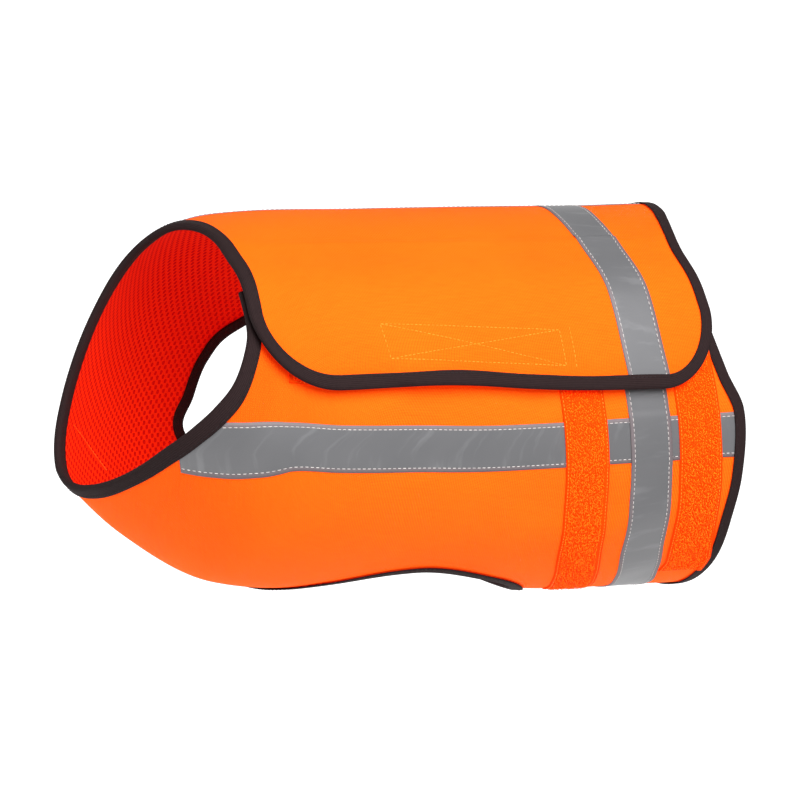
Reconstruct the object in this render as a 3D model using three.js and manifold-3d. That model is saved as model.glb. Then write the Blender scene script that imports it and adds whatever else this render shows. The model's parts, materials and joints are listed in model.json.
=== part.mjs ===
// A dog's high visibility vest, empty and standing open in the shape of the dog's chest.
// Millimetres. +X runs along the back to the tail, +Z is up through the spine, and the near side, where the
// closing flap lies, is -Y. The origin is the middle of the space that holds the dog.
//
// Every piece is cloth on one body surface. A place on it is a distance x along the back and an angle round
// the body: 0 at the spine, positive down the near side, 180 under the belly, negative down the far side.
import * as THREE from "three";
import { mergeVertices } from "three/addons/utils/BufferGeometryUtils.js";
import Module from "manifold-3d";

const wasm = await Module();
wasm.setup();

// Body surface: station x, then half width, height of the widest place, height of the belly.
const SPINE_HEIGHT = 134;
const BODY = [
  { x: -240, halfWidth: 46, widest: 42, belly: -62 },
  { x: -195, halfWidth: 88, widest: 24, belly: -100 },
  { x: -140, halfWidth: 121, widest: 7, belly: -126 },
  { x: -30, halfWidth: 129, widest: 2, belly: -133 },
  { x: 100, halfWidth: 134, widest: -3, belly: -141 },
  { x: 230, halfWidth: 135, widest: -4, belly: -143 },
];

// Cut edges: x of the neck and of the rear hem at angles all round, from the belly up the far side, over the
// spine and down the near side. The vest hangs a little askew, so the two sides differ.
const NECK = [
  [-180, -234], [-150, -230], [-120, -219], [-98, -207], [-75, -193.5], [-60, -186], [-44, -178],
  [-30, -171.5], [-14, -169], [10, -168.5], [24, -167.8], [32, -171], [44, -178.5], [55, -188.5],
  [68, -200], [85, -211.5], [120, -226], [150, -232.5], [180, -234],
];
const REAR = [
  [-180, 226], [-140, 225], [-105, 219], [-80, 211], [-60, 206], [-45, 202], [-32, 194], [-24, 187],
  [-15, 180.5], [-6, 176.5], [2, 175], [18, 176.5], [34, 187], [45, 200], [65, 205.5], [80, 208.5],
  [105, 218], [140, 225], [180, 226],
];
const LEG_HOLE = [
  [-109, 150], [-101, 138.5], [-90, 126.5], [-70, 117], [-12, 105], [48, 111],
  [78, 121], [90, 138], [68, 156], [0, 165], [-75, 166],
];
const PLUG_DEPTH = 8;

// Cloth thicknesses and the clear space kept between two layers.
const CLOTH = 0.8;
const LAYER_GAP = 0.9;
const TAPE_THICKNESS = 0.4;
const LOOP_THICKNESS = 1.2;
const BINDING_THICKNESS = 0.6;
const BINDING_LEG = 8;
const EDGE_GAP = 0.6;

// The closing flap.
const FLAP_ROOT = -14;
const WING_TOP = 9;
const FLAP_LIFT = 9;
const FLAP_LIFTED_BY = 12;
const FLAP_BOTTOM = [[-111, 38.2], [-75, 37.4], [-20, 36.9], [36, 37.9], [74, 38.2], [132, 38]];
const FLAP_CORNER_START = 0.58;
const FLAP_FRONT_CORNER = 54;
const FLAP_REAR_CORNER = 43;
const STRAIGHT_SIDES_TO = 16;
const HINGE_GAP = 0.3;

// Reflective tape and the woven loop and hook strips.
const TAPE_WIDTH = 32;
const LOOP_WIDTH = 33;
const HOOK_WIDTH = 25;
const GIRTH_LINE = [[0, 99], [25, 101], [40, 107], [60, 115.5], [90, 131], [107, 146], [120, 156], [180, 165]];
const SIDE_TAPE_LINE = [
  [-205, 77], [-186, 69.5], [-165, 62.3], [-141.5, 57], [-106, 56],
  [-8, 56], [52.6, 54.9], [102.3, 53.7], [150.9, 53], [192.5, 52.4],
];
const SIDE_TAPE_FRONT = -166;
const FRONT_LOOP_FROM_GIRTH = -51;
const REAR_LOOP_FROM_GIRTH = 38.5;
const FRONT_LOOP_END = 122;
const REAR_LOOP_END = 106;
const STRIP_OVER_BINDING = 2;
const SHOULDER_LOOP = { front: -143, rear: 47, from: 14, to: 37.5 };
const SHOULDER_HOOK = { front: -80, rear: 44, from: 20, to: 31 };
const FRONT_HOOK_FROM_GIRTH = -40;
const REAR_HOOK_FROM_GIRTH = 38;
const HOOK_TOP = 14;
const FRONT_HOOK_BOTTOM = 31;
const REAR_HOOK_BOTTOM = 22;

// Fineness of the facets.
const ANGLE_STEP = 7.5;
const ROWS_ALONG_BACK = 16;
const FRONT_CROWDING = 1.35;
const HOLE_POINTS = 40;

const radians = THREE.MathUtils.degToRad;

// A smooth curve through [place, value] pairs: each slope is that of the line between its two neighbours.
function curveThrough(pairs) {
  const slope = pairs.map((_, i) => {
    const a = pairs[Math.max(i - 1, 0)];
    const b = pairs[Math.min(i + 1, pairs.length - 1)];
    return (b[1] - a[1]) / (b[0] - a[0]);
  });
  return (place) => {
    let i = 0;
    while (i < pairs.length - 2 && place > pairs[i + 1][0]) i++;
    const [x0, y0] = pairs[i];
    const [x1, y1] = pairs[i + 1];
    const span = x1 - x0;
    const t = THREE.MathUtils.clamp((place - x0) / span, 0, 1);
    const rise = (y1 - y0) * t * t * (3 - 2 * t);
    const bend = span * t * (1 - t) * (slope[i] * (1 - t) - slope[i + 1] * t);
    return y0 + rise + bend;
  };
}

const halfWidthAt = curveThrough(BODY.map((s) => [s.x, s.halfWidth]));
const widestAt = curveThrough(BODY.map((s) => [s.x, s.widest]));
const bellyAt = curveThrough(BODY.map((s) => [s.x, s.belly]));

// The same curve on both sides of the body, and one curve all the way round, for angles of up to a full turn.
const onBothSides = (curve) => (angle) => curve(180 - Math.abs(180 - Math.abs(angle)));
const allRound = (curve) => (angle) => curve(THREE.MathUtils.euclideanModulo(angle + 180, 360) - 180);
const neckAt = allRound(curveThrough(NECK));
const rearAt = allRound(curveThrough(REAR));
const girthAt = onBothSides(curveThrough(GIRTH_LINE));
const sideTapeAt = curveThrough(SIDE_TAPE_LINE);
const flapBottomAt = curveThrough(FLAP_BOTTOM);

// A point on the bare body surface.
function onBody(x, angle) {
  const a = radians(angle);
  const widest = widestAt(x);
  const height = Math.cos(a) > 0 ? SPINE_HEIGHT - widest : widest - bellyAt(x);
  return new THREE.Vector3(x, -halfWidthAt(x) * Math.sin(a), widest + height * Math.cos(a));
}

// How the point moves per millimetre of x and per degree, and the outward normal there.
function frameAt(x, angle) {
  const step = 0.5;
  const along = onBody(x + step, angle).sub(onBody(x - step, angle)).divideScalar(2 * step);
  const around = onBody(x, angle + step).sub(onBody(x, angle - step)).divideScalar(2 * step);
  const normal = around.clone().cross(along).normalize();
  return { along, around, normal };
}

// A point at a height above the body surface.
function offBody(x, angle, height) {
  return onBody(x, angle).addScaledVector(frameAt(x, angle).normal, height);
}

// Height of the flap's cloth over the body: it leaves the back panel at its root and clears the wing.
function flapLift(angle) {
  const t = THREE.MathUtils.clamp((angle - FLAP_ROOT) / (FLAP_LIFTED_BY - FLAP_ROOT), 0, 1);
  return FLAP_LIFT * t * t * (3 - 2 * t);
}
const noLift = () => 0;

// A geometry from rings of points. Each ring is closed, and the rings follow one another.
function skinRings(rings, capQuads) {
  const size = rings[0].length;
  const positions = rings.flat().flatMap((p) => [p.x, p.y, p.z]);
  const index = [];
  const quad = (a, b, c, d) => index.push(a, b, c, a, c, d);
  const lastRing = rings.length - 1;
  const closed = !capQuads;
  for (let r = 0; r < (closed ? rings.length : lastRing); r++) {
    const next = (r + 1) % rings.length;
    for (let k = 0; k < size; k++) {
      const k2 = (k + 1) % size;
      quad(r * size + k, r * size + k2, next * size + k2, next * size + k);
    }
  }
  for (const [a, b, c, d] of capQuads ?? []) {
    quad(d, c, b, a);
    const base = lastRing * size;
    quad(base + a, base + b, base + c, base + d);
  }
  return outward(positions, index);
}

// The geometry with its faces turned outward.
function outward(positions, index) {
  let sixVolumes = 0;
  const at = (i) => new THREE.Vector3().fromArray(positions, 3 * i);
  for (let i = 0; i < index.length; i += 3) {
    sixVolumes += at(index[i]).dot(at(index[i + 1]).cross(at(index[i + 2])));
  }
  if (sixVolumes < 0) index.reverse();
  const geometry = new THREE.BufferGeometry();
  geometry.setAttribute("position", new THREE.Float32BufferAttribute(positions, 3));
  geometry.setIndex(index);
  return geometry;
}

// A sheet of cloth between two heights. place(u, v) gives x and angle, with u and v from 0 to 1.
function sheet(place, columns, rows, low, high, lift = noLift) {
  const rings = [];
  for (let j = 0; j <= rows; j++) {
    const row = (height) => Array.from({ length: columns + 1 }, (_, i) => {
      const [x, angle] = place(i / columns, j / rows);
      return offBody(x, angle, height + lift(angle));
    });
    rings.push([...row(high), ...row(low).reverse()]);
  }
  const size = 2 * (columns + 1);
  const caps = Array.from({ length: columns }, (_, i) => [i, i + 1, size - 2 - i, size - 1 - i]);
  return skinRings(rings, caps);
}

// The step from a path on the body to a point beside it: sideways millimetres become x and angle.
function beside(path, i, closed, sideways) {
  const last = path.length - 1;
  const before = closed ? path[(i + last) % path.length] : path[Math.max(i - 1, 0)];
  const after = closed ? path[(i + 1) % path.length] : path[Math.min(i + 1, last)];
  const [x, angle] = path[i];
  const { along, around, normal } = frameAt(x, angle);
  const onward = along.clone().multiplyScalar(after[0] - before[0]);
  onward.addScaledVector(around, after[1] - before[1]);
  const side = normal.clone().cross(onward).normalize();
  const dx = sideways * side.dot(along) / along.lengthSq();
  const dAngle = sideways * side.dot(around) / around.lengthSq();
  return [x + dx, angle + dAngle];
}

// A ribbon laid along a path, its width split in three so that it bends with the body.
function ribbon(path, width, low, high, lift = noLift) {
  const across = [-1 / 2, -1 / 6, 1 / 6, 1 / 2];
  const rings = path.map((_, i) => {
    const row = (height) => across.map((share) => {
      const [x, angle] = beside(path, i, false, share * width);
      return offBody(x, angle, height + lift(angle));
    });
    return [...row(high), ...row(low).reverse()];
  });
  return skinRings(rings, [[0, 1, 6, 7], [1, 2, 5, 6], [2, 3, 4, 5]]);
}

// Binding tape folded over a cut edge: a U whose legs lie above and below both cloths.
// inward is 1 when the cloth is on the left of the path seen from outside, and -1 when it is on the right.
function binding(path, inward, closed, lift = noLift) {
  const top = CLOTH + LAYER_GAP;
  const bottom = -2 * CLOTH - LAYER_GAP;
  const outerEdge = -EDGE_GAP - BINDING_THICKNESS;
  const profile = [
    [BINDING_LEG, top + BINDING_THICKNESS], [outerEdge, top + BINDING_THICKNESS],
    [outerEdge, bottom - BINDING_THICKNESS], [BINDING_LEG, bottom - BINDING_THICKNESS],
    [BINDING_LEG, bottom], [-EDGE_GAP, bottom], [-EDGE_GAP, top], [BINDING_LEG, top],
  ];
  const rings = path.map((_, i) => profile.map(([depth, height]) => {
    const [x, angle] = beside(path, i, closed, inward * depth);
    return offBody(x, angle, height + lift(path[i][1]));
  }));
  return skinRings(rings, closed ? null : [[0, 1, 6, 7], [1, 2, 5, 6], [2, 3, 4, 5]]);
}

// Evenly spaced values from a to b.
function spread(a, b, steps) {
  return Array.from({ length: steps + 1 }, (_, i) => a + (b - a) * i / steps);
}

// A smooth closed path through the leg hole's points, on the near side (1) or the far side (-1).
function legHolePath(side) {
  const points = LEG_HOLE.map(([x, angle]) => new THREE.Vector3(x, angle, 0));
  const curve = new THREE.CatmullRomCurve3(points, true, "catmullrom", 0.5);
  const path = Array.from({ length: HOLE_POINTS }, (_, i) => curve.getPoint(i / HOLE_POINTS));
  return path.map((p) => [p.x, side * p.y]);
}

// A plug that fills a leg hole through all the layers.
function legHolePlug(side) {
  const path = legHolePath(side);
  const middle = path.reduce((sum, [x, a]) => [sum[0] + x / path.length, sum[1] + a / path.length], [0, 0]);
  const rings = [-PLUG_DEPTH, PLUG_DEPTH].map((height) => path.map(([x, angle]) => offBody(x, angle, height)));
  const positions = rings.flat().flatMap((p) => [p.x, p.y, p.z]);
  for (const height of [-PLUG_DEPTH, PLUG_DEPTH]) positions.push(...offBody(...middle, height).toArray());
  const index = [];
  const n = path.length;
  for (let k = 0; k < n; k++) {
    const next = (k + 1) % n;
    index.push(k, next, n + next, k, n + next, n + k);
    index.push(next, k, 2 * n);
    index.push(n + k, n + next, 2 * n + 1);
  }
  return outward(positions, index);
}

function toSolid(geometry) {
  const bare = new THREE.BufferGeometry();
  bare.setAttribute("position", geometry.getAttribute("position"));
  bare.setIndex(geometry.index);
  const merged = mergeVertices(bare, 1e-4);
  return new wasm.Manifold(new wasm.Mesh({
    numProp: 3,
    vertProperties: new Float32Array(merged.attributes.position.array),
    triVerts: new Uint32Array(merged.index.array),
  }));
}

function cutHoles(geometry) {
  let solid = toSolid(geometry);
  for (const side of [1, -1]) solid = solid.subtract(toSolid(legHolePlug(side)));
  const mesh = solid.getMesh();
  const cut = new THREE.BufferGeometry();
  cut.setAttribute("position", new THREE.BufferAttribute(new Float32Array(mesh.vertProperties), 3));
  cut.setIndex(new THREE.BufferAttribute(new Uint32Array(mesh.triVerts), 1));
  return cut;
}

const group = new THREE.Group();

function add(name, geometry, material) {
  const mesh = new THREE.Mesh(geometry, material.clone());
  mesh.name = name;
  geometry.computeVertexNormals();
  group.add(mesh);
}

const material = (color, roughness) => new THREE.MeshStandardMaterial({ color, roughness, metalness: 0 });
const orangeOxford = material(0xff7a1e, 0.75);
const orangeMesh = material(0xff4a10, 0.85);
const blackWebbing = material(0x2b2529, 0.8);
const silverTape = material(0x8a888a, 0.45);
const orangeLoop = material(0xff6414, 0.95);

// Degrees that one millimetre takes up round the body, near the flap's root.
const degreesPerMillimetre = 180 / Math.PI / SPINE_HEIGHT;

// The main sheet runs from the flap's root over the far side, under the belly and up the near side to the
// wing's top edge, which lies under the flap.
const MAIN_FROM = FLAP_ROOT - HINGE_GAP * degreesPerMillimetre;
const MAIN_TO = WING_TOP - 360;
const mainSteps = Math.ceil((MAIN_FROM - MAIN_TO) / ANGLE_STEP);

function placeMain(u, v) {
  const angle = MAIN_FROM + (MAIN_TO - MAIN_FROM) * v;
  const x = THREE.MathUtils.lerp(neckAt(angle), rearAt(angle), u ** FRONT_CROWDING);
  return [x, angle];
}

function addMainSheets() {
  const rows = [ROWS_ALONG_BACK, mainSteps];
  add("vest_outer", cutHoles(sheet(placeMain, ...rows, 0, CLOTH)), orangeOxford);
  const liningTop = -LAYER_GAP;
  add("vest_lining", cutHoles(sheet(placeMain, ...rows, liningTop - CLOTH, liningTop)), orangeMesh);
}

// The wing's top binding stops short of the neck and rear bindings by a millimetre.
const CORNER_ROOM = BINDING_LEG + 1;

function addMainBindings() {
  const angles = spread(MAIN_FROM, MAIN_TO, mainSteps);
  add("neck_binding", binding(angles.map((a) => [neckAt(a), a]), -1, false), blackWebbing);
  add("rear_binding", binding(angles.map((a) => [rearAt(a), a]), 1, false), blackWebbing);
  const front = neckAt(WING_TOP) + CORNER_ROOM;
  const rear = rearAt(WING_TOP) - CORNER_ROOM;
  const topEdge = spread(front, rear, ROWS_ALONG_BACK).map((x) => [x, MAIN_TO]);
  add("wing_top_binding", binding(topEdge, -1, false), blackWebbing);
  add("near_leg_binding", binding(legHolePath(1), 1, true), blackWebbing);
  add("far_leg_binding", binding(legHolePath(-1), -1, true), blackWebbing);
}

// Tapes and loop strips stay clear of the bindings by this much.
const BINDING_CLEAR = BINDING_LEG + 3;
const TRIM_TOP = WING_TOP + BINDING_CLEAR * degreesPerMillimetre;
const FIRST_TRIM = CLOTH + LAYER_GAP;
const SECOND_TRIM = FIRST_TRIM + TAPE_THICKNESS + LAYER_GAP;

// The middle of a band that runs round the body beside the girth line, from one angle to another. A band
// near the rear hem may lie over the hem's binding by a little.
function girthBand(from, to, start, width) {
  const steps = Math.max(2, Math.ceil(Math.abs(to - from) / ANGLE_STEP));
  const hemRoom = BINDING_LEG - STRIP_OVER_BINDING;
  return spread(from, to, steps).map((angle) => {
    const beside = girthAt(angle) + start + width / 2;
    return [Math.min(beside, rearAt(angle) - hemRoom - width / 2), angle];
  });
}

function addMainTrim() {
  const upperEdge = sideTapeAt(Infinity) - TAPE_WIDTH / 2 * degreesPerMillimetre;
  const rear = rearAt(upperEdge) - BINDING_CLEAR;
  for (const [name, side] of [["near_side_tape", 1], ["far_side_tape", -1]]) {
    const path = spread(SIDE_TAPE_FRONT, rear, ROWS_ALONG_BACK).map((x) => [x, side * sideTapeAt(x)]);
    add(name, ribbon(path, TAPE_WIDTH, FIRST_TRIM, FIRST_TRIM + TAPE_THICKNESS), silverTape);
  }
  const girth = girthBand(MAIN_FROM, TRIM_TOP - 360, 0, TAPE_WIDTH);
  add("girth_tape", ribbon(girth, TAPE_WIDTH, SECOND_TRIM, SECOND_TRIM + TAPE_THICKNESS), silverTape);
  const strips = [
    ["front_loop_strip", FRONT_LOOP_FROM_GIRTH, FRONT_LOOP_END],
    ["rear_loop_strip", REAR_LOOP_FROM_GIRTH, REAR_LOOP_END],
  ];
  for (const [name, start, end] of strips) {
    const path = girthBand(TRIM_TOP, end, start, LOOP_WIDTH);
    add(name, ribbon(path, LOOP_WIDTH, SECOND_TRIM, SECOND_TRIM + LOOP_THICKNESS), orangeLoop);
  }
  const { front, rear: back, from, to } = SHOULDER_LOOP;
  const patch = (u, v) => [THREE.MathUtils.lerp(front, back, u), THREE.MathUtils.lerp(from, to, v)];
  add("shoulder_loop_patch", sheet(patch, 6, 4, FIRST_TRIM, FIRST_TRIM + LOOP_THICKNESS), orangeLoop);
}

// The flap's outline in its own terms: v runs from the root to the bottom edge, u from neck to rear.
function placeFlap(u, v) {
  const root = FLAP_ROOT + HINGE_GAP * degreesPerMillimetre;
  const turn = THREE.MathUtils.clamp((v - FLAP_CORNER_START) / (1 - FLAP_CORNER_START), 0, 1);
  const rounding = 1 - Math.sqrt(1 - turn * turn);
  const edgeAngle = root + v * (flapBottomAt(0) - root);
  const front = neckAt(Math.min(edgeAngle, STRAIGHT_SIDES_TO)) + FLAP_FRONT_CORNER * rounding;
  const rear = rearAt(Math.min(edgeAngle, STRAIGHT_SIDES_TO)) - FLAP_REAR_CORNER * rounding;
  const x = THREE.MathUtils.lerp(front, rear, u);
  return [x, root + v * (flapBottomAt(x) - root)];
}

// Rows crowd towards the bottom, where the corners turn.
const flapRow = (v) => Math.sin(v * Math.PI / 2);
const FLAP_ROWS = 12;

function addFlapCloth() {
  const place = (u, v) => placeFlap(u, flapRow(v));
  const size = [ROWS_ALONG_BACK, FLAP_ROWS];
  add("flap_outer", sheet(place, ...size, 0, CLOTH, flapLift), orangeOxford);
  add("flap_lining", sheet(place, ...size, -LAYER_GAP - CLOTH, -LAYER_GAP, flapLift), orangeMesh);
  const down = spread(0, 1, FLAP_ROWS).map((v) => place(0, v));
  const along = spread(0, 1, ROWS_ALONG_BACK).slice(1, -1).map((u) => place(u, 1));
  const up = spread(1, 0, FLAP_ROWS).map((v) => place(1, v));
  add("flap_binding", binding([...down, ...along, ...up], 1, false, flapLift), blackWebbing);
}

function addFlapTrim() {
  const root = FLAP_ROOT + HINGE_GAP * degreesPerMillimetre;
  const bottom = flapBottomAt(girthAt(FRONT_HOOK_BOTTOM)) - BINDING_CLEAR * degreesPerMillimetre;
  const tape = girthBand(root, bottom, 0, TAPE_WIDTH);
  const level = [FIRST_TRIM, FIRST_TRIM + TAPE_THICKNESS];
  add("flap_girth_tape", ribbon(tape, TAPE_WIDTH, ...level, flapLift), silverTape);
  const hookHigh = -2 * LAYER_GAP - CLOTH;
  const hookLow = hookHigh - LOOP_THICKNESS;
  const { front, rear, from, to } = SHOULDER_HOOK;
  const patch = (u, v) => [THREE.MathUtils.lerp(front, rear, u), THREE.MathUtils.lerp(from, to, v)];
  add("shoulder_hook_strip", sheet(patch, 5, 2, hookLow, hookHigh, flapLift), orangeLoop);
  const strips = [
    ["front_hook_strip", FRONT_HOOK_FROM_GIRTH, FRONT_HOOK_BOTTOM],
    ["rear_hook_strip", REAR_HOOK_FROM_GIRTH, REAR_HOOK_BOTTOM],
  ];
  for (const [name, start, low] of strips) {
    const path = girthBand(HOOK_TOP, low, start, HOOK_WIDTH);
    add(name, ribbon(path, HOOK_WIDTH, hookLow, hookHigh, flapLift), orangeLoop);
  }
}

addMainSheets();
addMainBindings();
addMainTrim();
addFlapCloth();
addFlapTrim();

export default group;
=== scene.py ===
# %% [markdown]
# # A dog's high visibility vest
# The real vest is one shaped panel of fluorescent orange oxford cloth, lined with an eyelet mesh and bound
# in black tape round every edge. It hangs from the dog's spine, runs down the far side, under the belly and
# up the near side, and a wide flap comes over the spine and closes on loop strips with hook strips of its
# own. Grey reflective tape is sewn along each side and in a ring round the body.
#
# The fixed frame comes first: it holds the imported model, its two bodies, and the hinge that the flap turns
# on.

# %% Load the fixed frame
import json
import math

import bpy
import numpy as np
from mathutils import Matrix


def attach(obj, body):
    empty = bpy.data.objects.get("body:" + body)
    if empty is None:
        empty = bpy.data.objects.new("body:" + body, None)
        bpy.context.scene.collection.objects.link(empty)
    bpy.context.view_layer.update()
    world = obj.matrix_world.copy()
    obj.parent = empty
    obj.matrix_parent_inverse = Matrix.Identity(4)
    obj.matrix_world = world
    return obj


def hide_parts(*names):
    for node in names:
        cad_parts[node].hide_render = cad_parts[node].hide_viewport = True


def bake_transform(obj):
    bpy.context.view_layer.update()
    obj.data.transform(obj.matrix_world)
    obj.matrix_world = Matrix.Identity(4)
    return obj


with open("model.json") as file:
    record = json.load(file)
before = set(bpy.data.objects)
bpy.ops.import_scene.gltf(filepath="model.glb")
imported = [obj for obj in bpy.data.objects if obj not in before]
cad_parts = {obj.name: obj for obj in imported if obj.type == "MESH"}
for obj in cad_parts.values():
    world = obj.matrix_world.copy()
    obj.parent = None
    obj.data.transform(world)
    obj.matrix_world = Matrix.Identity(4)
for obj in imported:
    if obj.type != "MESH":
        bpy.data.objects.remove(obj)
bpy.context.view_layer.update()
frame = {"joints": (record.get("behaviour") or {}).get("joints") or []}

hinge = next(joint for joint in frame["joints"] if joint["name"] == "flap_hinge")
MM = 0.001

# %% [markdown]
# ## Camera
# A long lens from high on the near side, in front of the neck, and rolled a little, shows the neck opening,
# the flap and the near side at once. A camera's axes are the columns of its matrix: right, up, and away
# from the aim. Azimuth 0 looks along +Y, and the roll turns right and up about the line of sight.

# %% Set the camera
AIM = np.array([0.0035, 0.0, -0.0036])
AZIMUTH, ELEVATION, ROLL = np.radians([-38.58, 44.02, 27.38])
DISTANCE = 2.486
LENS_MM = 159.8

back = np.array([
    math.sin(AZIMUTH) * math.cos(ELEVATION),
    -math.cos(AZIMUTH) * math.cos(ELEVATION),
    math.sin(ELEVATION),
])
level = np.array([math.cos(AZIMUTH), math.sin(AZIMUTH), 0.0])
upright = np.cross(back, level)
right = level * math.cos(ROLL) + upright * math.sin(ROLL)
up = upright * math.cos(ROLL) - level * math.sin(ROLL)

pose = np.eye(4)
pose[:3, :3] = np.column_stack([right, up, back])
pose[:3, 3] = AIM + back * DISTANCE
camera = bpy.data.objects.new("camera", bpy.data.cameras.new("camera"))
camera.data.sensor_width = 36
camera.data.lens = LENS_MM
camera.matrix_world = Matrix(pose.tolist())
bpy.context.collection.objects.link(camera)
bpy.context.scene.camera = camera
print("camera at", np.round(pose[:3, 3], 3))

# %% [markdown]
# ## The body surface
# Every piece of a garment lies on one surface, so the surface is written once and each piece is a layer on
# it. A place is a distance x along the back, in millimetres, and an angle round the body: 0 at the spine,
# positive down the near side, 180 under the belly, negative down the far side. The alternatives are
# sculpting each panel, which lets the layers drift through each other, or lofting them one by one, which
# repeats the same sections.

# %% Smooth curves through a few stations
def curve_through(pairs):
    """Between two stations, with t from 0 to 1 and slopes s0 and s1 taken from each station's neighbours:
    value = y0 + (y1 - y0) t^2 (3 - 2 t) + span t (1 - t) (s0 (1 - t) - s1 t)."""
    place, value = np.array(pairs, float).T
    order = np.arange(len(place))
    before, after = np.maximum(order - 1, 0), np.minimum(order + 1, len(place) - 1)
    slope = (value[after] - value[before]) / (place[after] - place[before])

    def curve(at):
        i = np.clip(np.searchsorted(place, at) - 1, 0, len(place) - 2)
        span = place[i + 1] - place[i]
        t = np.clip((at - place[i]) / span, 0, 1)
        rise = (value[i + 1] - value[i]) * t * t * (3 - 2 * t)
        return value[i] + rise + span * t * (1 - t) * (slope[i] * (1 - t) - slope[i + 1] * t)

    return curve


def on_both_sides(curve):
    """The same curve on both sides of the body: value(angle) = curve(180 - |180 - |angle||)."""
    return lambda angle: curve(180 - np.abs(180 - np.abs(angle)))


def all_round(curve):
    """One curve all round, given from -180 to 180, for angles of up to a full turn either way."""
    return lambda angle: curve(np.mod(np.asarray(angle, float) + 180, 360) - 180)


# x, half width, height of the widest place, height of the belly
BODY = [
    (-240, 46, 42, -62), (-195, 88, 24, -100), (-140, 121, 7, -126),
    (-30, 129, 2, -133), (100, 134, -3, -141), (230, 135, -4, -143),
]
SPINE_HEIGHT = 134
half_width_at = curve_through([(x, half) for x, half, _, _ in BODY])
widest_at = curve_through([(x, widest) for x, _, widest, _ in BODY])
belly_at = curve_through([(x, belly) for x, _, _, belly in BODY])

neck_at = all_round(curve_through([
    (-180, -234), (-150, -230), (-120, -219), (-98, -207), (-75, -193.5), (-60, -186), (-44, -178),
    (-30, -171.5), (-14, -169), (10, -168.5), (24, -167.8), (32, -171), (44, -178.5), (55, -188.5),
    (68, -200), (85, -211.5), (120, -226), (150, -232.5), (180, -234)]))
rear_at = all_round(curve_through([
    (-180, 226), (-140, 225), (-105, 219), (-80, 211), (-60, 206), (-45, 202), (-32, 194), (-24, 187),
    (-15, 180.5), (-6, 176.5), (2, 175), (18, 176.5), (34, 187), (45, 200), (65, 205.5), (80, 208.5),
    (105, 218), (140, 225), (180, 226)]))
print("length at the belly", float(rear_at(180.0) - neck_at(180.0)), "mm")


# %% Points and directions on the body
def on_body(x, angle):
    """(x, -half width sin angle, widest + h cos angle), where h is spine - widest above the widest place and
    widest - belly below it."""
    x, angle = np.broadcast_arrays(np.asarray(x, float), np.asarray(angle, float))
    turn, middle = np.radians(angle), widest_at(x)
    reach = np.where(np.cos(turn) > 0, SPINE_HEIGHT - middle, middle - belly_at(x))
    return np.stack([x, -half_width_at(x) * np.sin(turn), middle + reach * np.cos(turn)], -1)


def unit(vectors):
    """Each vector divided by its own length."""
    return vectors / np.maximum(np.linalg.norm(vectors, axis=-1, keepdims=True), 1e-9)


def directions(x, angle):
    """How the point moves per millimetre of x and per degree, by central differences of half a unit, and the
    outward normal, which is round x along."""
    along = on_body(x + 0.5, angle) - on_body(x - 0.5, angle)
    round_body = on_body(x, angle + 0.5) - on_body(x, angle - 0.5)
    return along, round_body, unit(np.cross(round_body, along))


def off_body(x, angle, height, rise):
    """The body point moved out along the normal by height + rise(x, angle)."""
    x, angle, height = np.broadcast_arrays(np.asarray(x, float), angle, height)
    normal = directions(x, angle)[2]
    return on_body(x, angle) + normal * (height + rise(x, angle))[..., None]


def beside(x, angle, sideways, closed=False):
    """Steps of sideways millimetres from a route, at right angles to it. The step is along normal x onward,
    and its shares of x and angle are side . along / |along|^2 and side . round / |round|^2."""
    if closed:
        dx = np.roll(x, -1) - np.roll(x, 1)
        turn = np.roll(angle, -1) - np.roll(angle, 1)
    else:
        dx, turn = np.gradient(x), np.gradient(angle)
    along, round_body, normal = directions(x, angle)
    side = unit(np.cross(normal, along * dx[:, None] + round_body * turn[:, None]))
    share_x = (side * along).sum(-1) / (along ** 2).sum(-1)
    share_angle = (side * round_body).sum(-1) / (round_body ** 2).sum(-1)
    return x[:, None] + share_x[:, None] * sideways, angle[:, None] + share_angle[:, None] * sideways


def arc_length(points):
    """Distance along a line of points, from its first one: the running sum of the gaps."""
    gaps = np.linalg.norm(np.diff(points, axis=0), axis=-1)
    return np.concatenate([[0], np.cumsum(gaps)])


def evenly(x, angle, step):
    """The same route with its points step millimetres apart, found on its arc length."""
    distance = arc_length(on_body(x, angle))
    places = np.linspace(0, distance[-1], max(2, round(distance[-1] / step)) + 1)
    return np.interp(places, distance, x), np.interp(places, distance, angle)


print("girth at the widest", round(arc_length(on_body(100.0, np.linspace(-180, 180, 181)))[-1]), "mm")

# %% [markdown]
# ## Cut edges
# The leg holes are closed curves on the surface. The flap's outline starts as the neck and rear edges and
# rounds in at its two lower corners like a quarter of an ellipse. One panel runs all the way round the real
# vest, so the flap here starts at a seam on the far side and goes over the spine: the cloth that bends on
# the hinge is then one piece that reaches past the bend on both sides.

# %% Leg holes and the flap's outline
LEG_HOLE = [
    (-109, 150), (-101, 138.5), (-90, 126.5), (-70, 117), (-12, 105), (48, 111),
    (78, 121), (90, 138), (68, 156), (0, 165), (-75, 166),
]
HOLE_STEPS = 16
NEAR, FAR = 1, -1


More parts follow.
